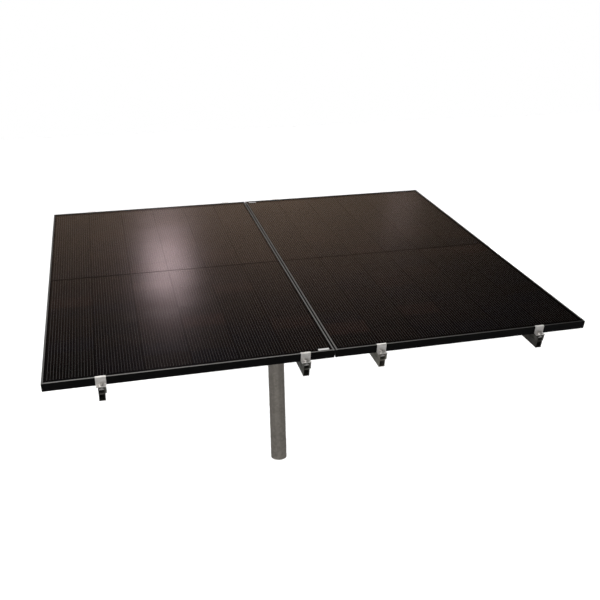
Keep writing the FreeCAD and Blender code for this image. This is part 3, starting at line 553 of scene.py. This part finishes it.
def weld_line(mesh, path, size, where, closed=False):
    """A rippled bead along a path."""
    points, radii = [], []
    travelled = 0.0
    spans = list(zip(path, path[1:] + path[:1])) if closed else list(zip(path, path[1:]))
    for first, second in spans:
        length = (second - first).length
        count = max(1, int(length / WELD_STEP))
        for i in range(count):
            points.append(first.lerp(second, i / count))
            radii.append(bead_radius(size, travelled + length * i / count))
        travelled += length
    if not closed:
        points.append(path[-1])
        radii.append(size * WELD_END)
        radii[0] = size * WELD_END
    add_tube(mesh, points, radii, WELD_SIDES, where, closed)


SLEEVE_OUTER = 50.8 * MM
HEAD_BOTTOM = 880.4 * MM
HEAD_TOP = 890.4 * MM
EAR_FACES = (40.0 * MM, 48.0 * MM)
EAR_FOOT = 57.0 * MM
CHEEK_FACES = (50.0 * MM, 58.0 * MM)
CHEEK_TOP = 59.0 * MM
SADDLE_BOTTOM = 70.0 * MM
SLEEVE_BEAD = 3.2 * MM
PLATE_BEAD = 2.8 * MM
RING_POINTS = 72


def head_welds():
    """Beads round the sleeve under the head plate, and along the feet of both ears."""
    mesh = bmesh.new()
    angles = [2 * math.pi * i / RING_POINTS for i in range(RING_POINTS)]
    ring = [Vector((SLEEVE_OUTER * math.cos(angle), SLEEVE_OUTER * math.sin(angle),
                    HEAD_BOTTOM)) for angle in angles]
    weld_line(mesh, ring, SLEEVE_BEAD, ON_GROUND, closed=True)
    for sign in (-1, 1):
        for face in EAR_FACES:
            line = [Vector((sign * face, -EAR_FOOT, HEAD_TOP)),
                    Vector((sign * face, EAR_FOOT, HEAD_TOP))]
            weld_line(mesh, line, PLATE_BEAD, ON_GROUND)
    new_piece("head_weld_beads", mesh, "head", "galvanised_steel", MATERIALS["weld"])


def saddle_welds():
    """Beads along the tops of both cheeks, under the saddle plate."""
    mesh = bmesh.new()
    for sign in (-1, 1):
        for face in CHEEK_FACES:
            line = [Vector((sign * face, -CHEEK_TOP, SADDLE_BOTTOM)),
                    Vector((sign * face, CHEEK_TOP, SADDLE_BOTTOM))]
            weld_line(mesh, line, PLATE_BEAD, IN_ARRAY)
    new_piece("saddle_weld_beads", mesh, "array", "galvanised_steel", MATERIALS["weld"])


head_welds()
saddle_welds()


# ---- The CAD nodes' finishes and edges -------------------------------------------------

SAME_POINT = 0.02 * MM
FLAT = math.radians(1)
SHARP = math.radians(38)


def join_faces(piece):
    """Joins a CAD node's faces where they meet, so that each solid is one surface."""
    weld = piece.modifiers.new("weld", "WELD")
    weld.merge_threshold = SAME_POINT


def whole_faces(piece):
    """Turns the triangles of each flat face into one face, so a cell has one tone."""
    join_faces(piece)
    planar = piece.modifiers.new("planar", "DECIMATE")
    planar.decimate_type = "DISSOLVE"
    planar.angle_limit = FLAT


def soften(piece, width):
    """Small rounded edges on a CAD node's drawn shape, with its flat faces shaded flat."""
    join_faces(piece)
    bevel = piece.modifiers.new("bevel", "BEVEL")
    bevel.width = width
    bevel.segments = 2
    bevel.limit_method = "ANGLE"
    bevel.angle_limit = SHARP
    normals = piece.modifiers.new("normals", "WEIGHTED_NORMAL")
    normals.keep_sharp = False


for row in frame["record"]["subparts"]:
    piece = NODES[row["node"]]
    piece.data.materials.clear()
    piece.data.materials.append(MATERIALS[row["material_slot"]])

FRAME_BARS = [side + "_frame_" + edge for side in MODULE_CENTRES
              for edge in ("front", "back", "left", "right")]
EDGE_WIDTHS = {
    0.6 * MM: FRAME_BARS,
    0.4 * MM: ("front_clamps", "rear_clamps"),
    0.5 * MM: ("clamp_jaws",),
    0.7 * MM: ("rail_brackets", "saddle_plate", "left_cheek", "right_cheek", "left_ear",
               "right_ear", "head_plate"),
    0.9 * MM: ("junction_boxes", "junction_box_lids", "beam_end_caps"),
}
for width, nodes in EDGE_WIDTHS.items():
    for node in nodes:
        soften(NODES[node], width)
for side in MODULE_CENTRES:
    whole_faces(NODES[side + "_cells"])


# ---- Stage, camera and light -----------------------------------------------------------

SUN_DISTANCE = 9.0
FLOOR_REACH = 60.0
GLINT_COLOUR = (1.0, 0.77, 0.815)
BOX_GLOW = (3.0, 2.95, 2.9)


def new_lamp(name, kind, power):
    """A lamp; rays that happen to hit it don't count, since those make bright specks."""
    data = bpy.data.lights.new(name, kind)
    data.energy = power
    data.cycles.use_multiple_importance_sampling = False
    lamp = bpy.data.objects.new(name, data)
    scene.collection.objects.link(lamp)
    return lamp


def sun_lamp(name, bearing, height, width, power, colour=(1.0, 1.0, 1.0)):
    """A far round lamp; its direction and its width are in degrees."""
    lamp = new_lamp(name, "SUN", power)
    lamp.data.angle = math.radians(width)
    lamp.data.color = colour
    bearing, height = math.radians(bearing), math.radians(height)
    towards = Vector((math.sin(bearing) * math.cos(height),
                      math.cos(bearing) * math.cos(height), math.sin(height)))
    lamp.rotation_euler = (-towards).to_track_quat("-Z", "Y").to_euler()
    lamp.location = SUN_DISTANCE * towards
    return lamp


def keep_light_on(lamp, name, pieces):
    """Lets a lamp reach only some pieces, with no shadows from the others."""
    only = bpy.data.collections.new(name)
    for piece in pieces:
        only.objects.link(piece)
    lamp.light_linking.receiver_collection = only
    lamp.light_linking.blocker_collection = only


def pale_floor():
    """A wide plain floor, washed evenly by a lamp of its own so its shadows stay faint.

    It stays out of mirrored and bounced light, which the world gives on its own.
    """
    mesh = bmesh.new()
    verts = [mesh.verts.new((x * FLOOR_REACH, y * FLOOR_REACH, 0))
             for x, y in ((-1, -1), (1, -1), (1, 1), (-1, 1))]
    mesh.faces.new(verts)
    data = bpy.data.meshes.new("floor")
    mesh.to_mesh(data)
    mesh.free()
    floor = bpy.data.objects.new("floor", data)
    scene.collection.objects.link(floor)
    material, tree = new_material("pale_floor")
    tone = ramp(tree, noise(tree, place(tree), 1.5), [(0.3, 0.88), (0.7, 0.9)])
    finish_material(tree, tone, 0.9, Specular_IOR_Level=0.0)
    data.materials.append(material)
    floor.visible_glossy = False
    floor.visible_diffuse = False
    wash = sun_lamp("floor_wash", bearing=0.0, height=90.0, width=40.0, power=3.4)
    keep_light_on(wash, "only_floor", [floor])


def degrees_from(tree, operation, *values):
    """An angle in degrees from an inverse sine or tangent."""
    return math_node(tree, "MULTIPLY", math_node(tree, operation, *values),
                     math.degrees(1.0))


def curve(tree, angle, stops):
    """A smooth curve through (degrees, value or colour) stops from -90 to 90."""
    factor = add(tree, "MapRange", {"Value": angle, "From Min": -90.0, "From Max": 90.0})
    return ramp(tree, factor.outputs[0], [((a + 90.0) / 180.0, v) for a, v in stops])


def scaled(tree, factor, colour):
    """A colour times a number."""
    grey = add(tree, "CombineColor", {0: factor, 1: factor, 2: factor}).outputs[0]
    return mix_colour(tree, 1.0, grey, colour, "MULTIPLY")


def mirrored_walls(tree, bearing, height):
    """What the object mirrors all round: grey walls, and a warm glow behind the array."""
    neutral = curve(tree, height, [(-90, 0.3), (-10, 0.42), (0, 0.5), (30, 0.42), (90, 0.35)])
    glow = curve(tree, height, [(15, (0.75, 0.55, 0.4)), (33, (0.72, 0.51, 0.37)),
                                (36, (0.62, 0.43, 0.33)), (39, (0.42, 0.29, 0.23)),
                                (42, (0.22, 0.155, 0.13)), (46, (0.05, 0.045, 0.045)),
                                (90, (0.03, 0.03, 0.03))])
    strength = curve(tree, bearing, [(-40, 0.3), (-12, 0.47), (-2, 0.56), (8, 0.74),
                                     (16, 0.76), (26, 0.49), (34, 0.22), (42, 0.06),
                                     (50, 0.01)])
    glow = scaled(tree, strength, glow)
    behind = curve(tree, bearing, [(-60, 0.0), (-30, 1.0), (65, 1.0), (85, 0.0)])
    raised = curve(tree, height, [(8, 0.0), (22, 1.0), (66, 1.0), (80, 0.0)])
    return mix_colour(tree, math_node(tree, "MULTIPLY", behind, raised), neutral, glow)


def mirrored_box(tree, bearing, height):
    """A broad soft box high up behind the array, to the left."""
    box = math_node(tree, "MULTIPLY",
                    curve(tree, bearing, [(-75, 0.0), (-60, 1.0), (12, 1.0), (30, 0.0)]),
                    curve(tree, height, [(66, 0.0), (69, 1.0), (80, 1.0), (84, 0.0)]))
    return scaled(tree, box, BOX_GLOW)


def studio_world():
    """A white studio: what is mirrored is painted by direction, and the rest is soft light."""
    world = bpy.data.worlds.new("studio")
    scene.world = world
    world.use_nodes = True
    tree = world.node_tree
    tree.nodes.clear()
    towards = add(tree, "SeparateXYZ", {0: add(tree, "TexCoord").outputs["Generated"]})
    x, y, z = towards.outputs
    height = degrees_from(tree, "ARCSINE", z)
    bearing = degrees_from(tree, "ARCTAN2", x, y)
    seen = mix_colour(tree, 1.0, mirrored_walls(tree, bearing, height),
                      mirrored_box(tree, bearing, height), "ADD")
    soft = curve(tree, height, [(-90, 0.5), (-10, 0.42), (8, 0.26), (30, 0.16), (90, 0.14)])
    rays = add(tree, "LightPath")
    colour = mix_colour(tree, rays.outputs["Is Glossy Ray"], soft, seen)
    colour = mix_colour(tree, rays.outputs["Is Camera Ray"], colour, (1.0, 1.0, 1.0))
    background = add(tree, "Background", {"Color": colour, "Strength": 1.0})
    add(tree, "OutputWorld", {"Surface": background.outputs[0]})


def area_light(name, position, target, size, power):
    """A soft rectangular lamp aimed at a point."""
    lamp = new_lamp(name, "AREA", power)
    lamp.data.shape = "RECTANGLE"
    lamp.data.size, lamp.data.size_y = size
    lamp.location = position
    aim = Vector(target) - Vector(position)
    lamp.rotation_euler = aim.to_track_quat("-Z", "Y").to_euler()


CAMERA_PLACE = (-0.8457, -3.4333, 1.9474)
CAMERA_TURN = (74.1338, 2.1992, -12.6072)
CAMERA_LENS = 40.789
CAMERA_SENSOR = 36.0
CAMERA_SHIFT = 0.0786


def camera():
    """The camera, placed so that the modules' corners fall where the photo has them."""
    data = bpy.data.cameras.new("camera")
    data.sensor_width = CAMERA_SENSOR
    data.lens = CAMERA_LENS
    data.shift_x = CAMERA_SHIFT
    eye = bpy.data.objects.new("camera", data)
    eye.location = CAMERA_PLACE
    eye.rotation_euler = [math.radians(angle) for angle in CAMERA_TURN]
    scene.collection.objects.link(eye)
    scene.camera = eye


def studio_lamps():
    """Three soft lamps, and the two small ones that the glass mirrors."""
    area_light("key", (-2.7, -1.7, 3.4), (-0.3, -0.1, 1.0), (1.4, 1.4), power=100)
    area_light("front", (-3.0, -6.0, 2.6), (0, 0, 1), (2.5, 2.5), power=110)
    area_light("rear", (2.5, 5.5, 0.5), (0, 0, 1.1), (3.6, 0.8), power=110)
    sun_lamp("left_glint", 5.9, 38.8, width=3.8, power=0.025, colour=GLINT_COLOUR)
    sun_lamp("right_glint", 29.0, 32.0, width=2.5, power=0.001, colour=GLINT_COLOUR)


def clamp_lamps():
    """Two wide lamps that brighten only the clamps: their tops, and their faces."""
    clamps = [NODES["front_clamps"], NODES["rear_clamps"]]
    top = sun_lamp("clamp_top_wash", 18.0, 49.0, width=60.0, power=1.6)
    keep_light_on(top, "top_washed", clamps)
    face = sun_lamp("clamp_face_wash", 165.0, -40.0, width=60.0, power=0.24)
    keep_light_on(face, "face_washed", clamps)


pale_floor()
studio_world()
studio_lamps()
clamp_lamps()
camera()

scene.view_settings.view_transform = "Standard"
